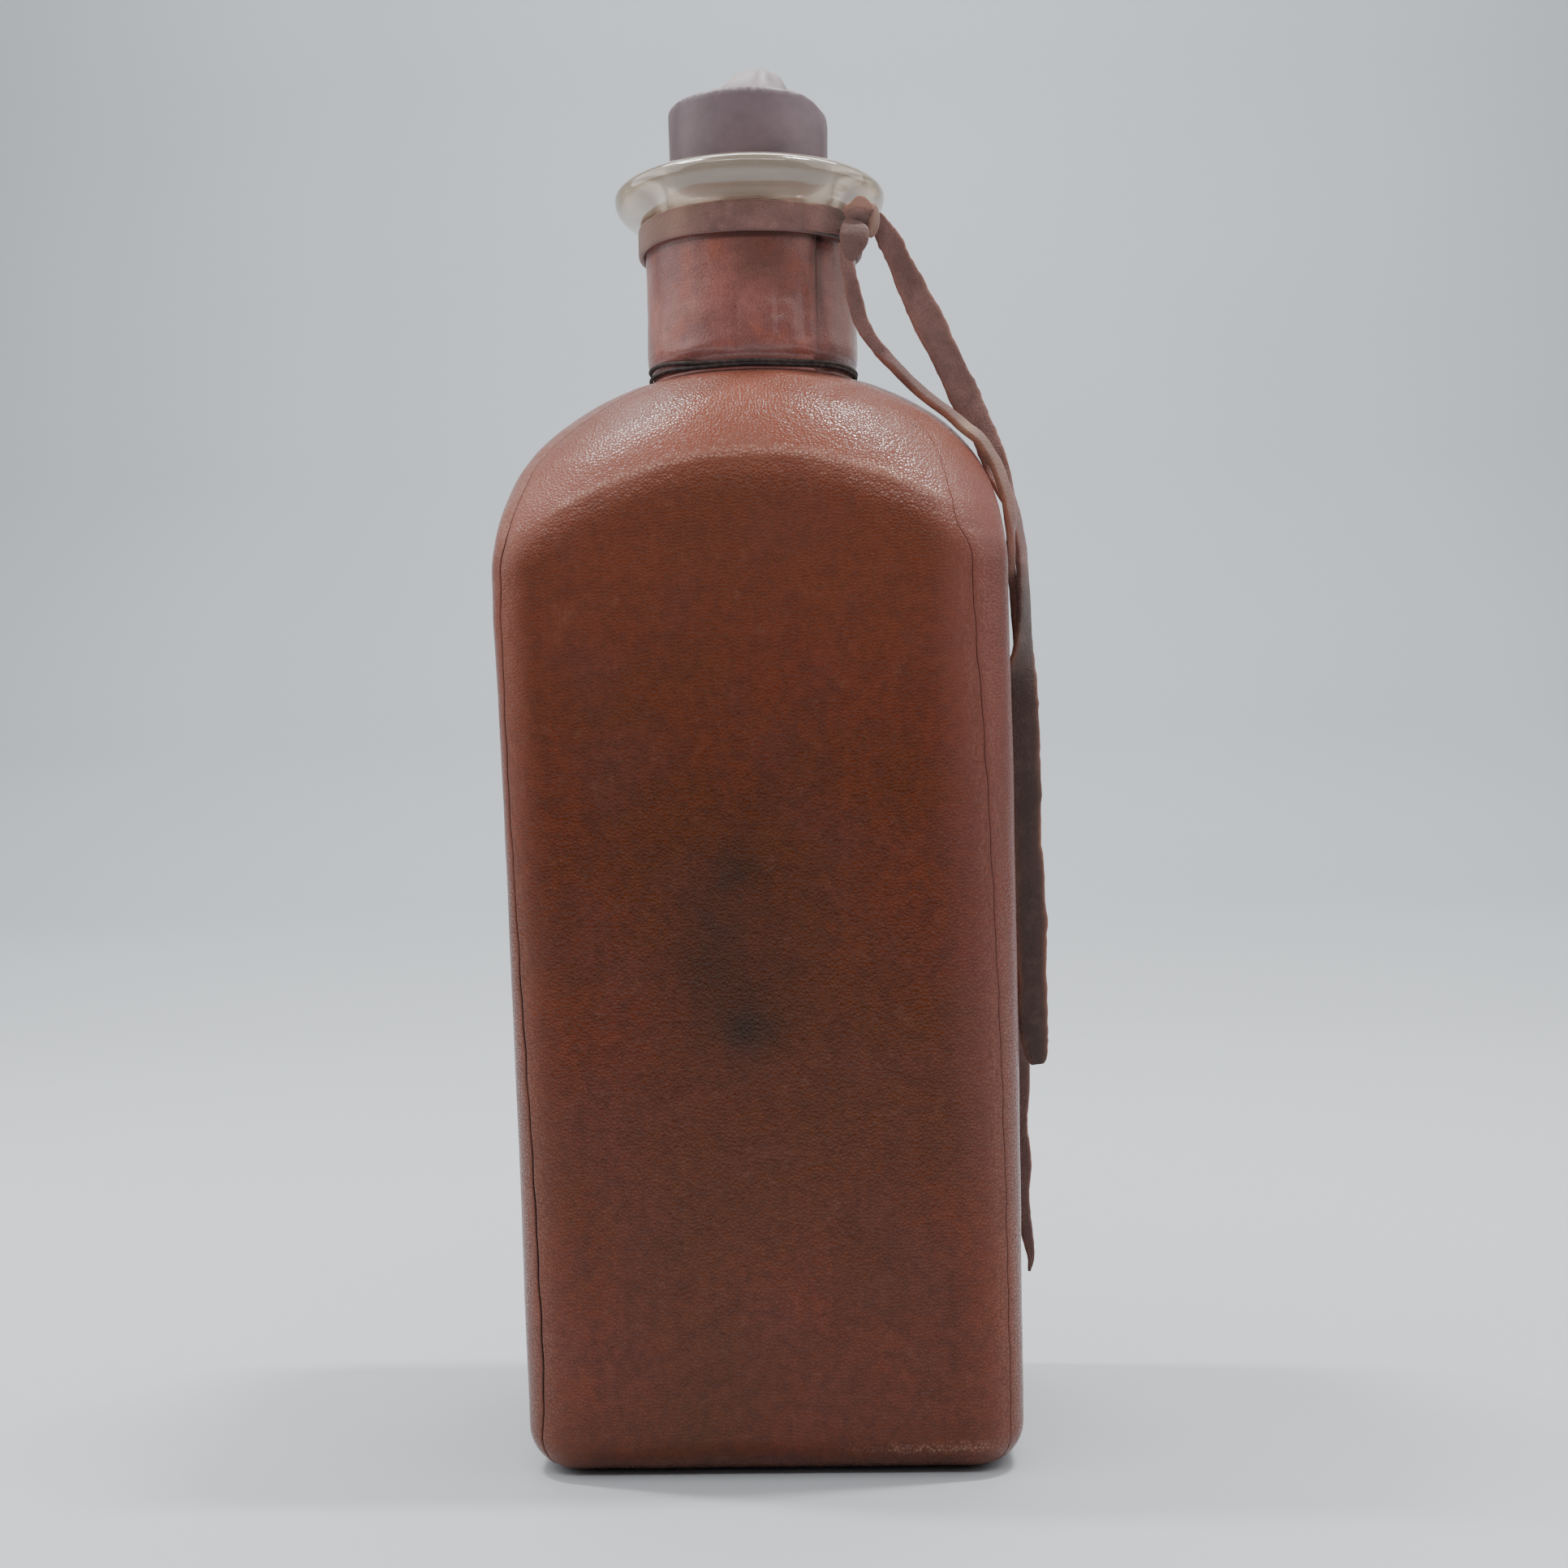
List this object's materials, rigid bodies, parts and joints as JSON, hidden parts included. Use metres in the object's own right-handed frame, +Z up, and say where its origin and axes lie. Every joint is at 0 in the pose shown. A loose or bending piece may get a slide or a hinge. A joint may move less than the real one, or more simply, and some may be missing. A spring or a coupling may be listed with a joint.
{
  "type": "leather-covered glass flask",
  "caption": "Rounded-square glass flask in a sewn leather cover, with a tapered solid glass stopper, a cord-bound neck and a knotted leather thong with hanging tails.",
  "frame": {"origin": "middle of the flat base that the flask stands on", "axes": "+Z up along the neck, +X to the right towards the hanging tails, the front panel faces -Y"},
  "size_m": [0.0918, 0.066, 0.24],
  "materials": {
    "clear_glass": "gloss",
    "frosted_glass": "satin",
    "body_leather": "satin",
    "neck_leather": "satin",
    "thong_leather": "matte",
    "black_cord": "matte",
    "seam_thread": "matte"
  },
  "bodies": {
    "flask": {"glass_bottle": "clear_glass", "front_panel": "body_leather", "back_panel": "body_leather", "left_gusset": "body_leather", "right_gusset": "body_leather", "base_panel": "body_leather", "neck_sleeve": "neck_leather", "thong_band": "thong_leather", "thong_knot": "thong_leather", "neck_binding": "black_cord", "binding_knot": "black_cord", "front_left_seam_thread": "seam_thread", "front_right_seam_thread": "seam_thread", "back_left_seam_thread": "seam_thread", "back_right_seam_thread": "seam_thread", "base_seam_thread": "seam_thread"},
    "stopper": {"glass_stopper": "frosted_glass"},
    "wide_tail_swinging": {"wide_tail": "thong_leather"},
    "narrow_tail_swinging": {"narrow_tail": "thong_leather"}
  },
  "joints": [
    {"name": "stopper_lift", "type": "slide", "parent": "flask", "child": "stopper", "axis": [0, 0, 1], "range_m": [0, 0.045]},
    {"name": "wide_tail_swing", "type": "hinge", "parent": "flask", "child": "wide_tail_swinging", "pos_m": [0.0225, -0.0117, 0.2086], "axis": [0, -1, 0], "range_deg": [0, 60]},
    {"name": "narrow_tail_swing", "type": "hinge", "parent": "flask", "child": "narrow_tail_swinging", "pos_m": [0.016, -0.016, 0.2002], "axis": [0, -1, 0], "range_deg": [0, 60]}
  ],
  "couplings": [
    {"joint": "narrow_tail_swing", "follows": "wide_tail_swing", "ratio": 1}
  ]
}
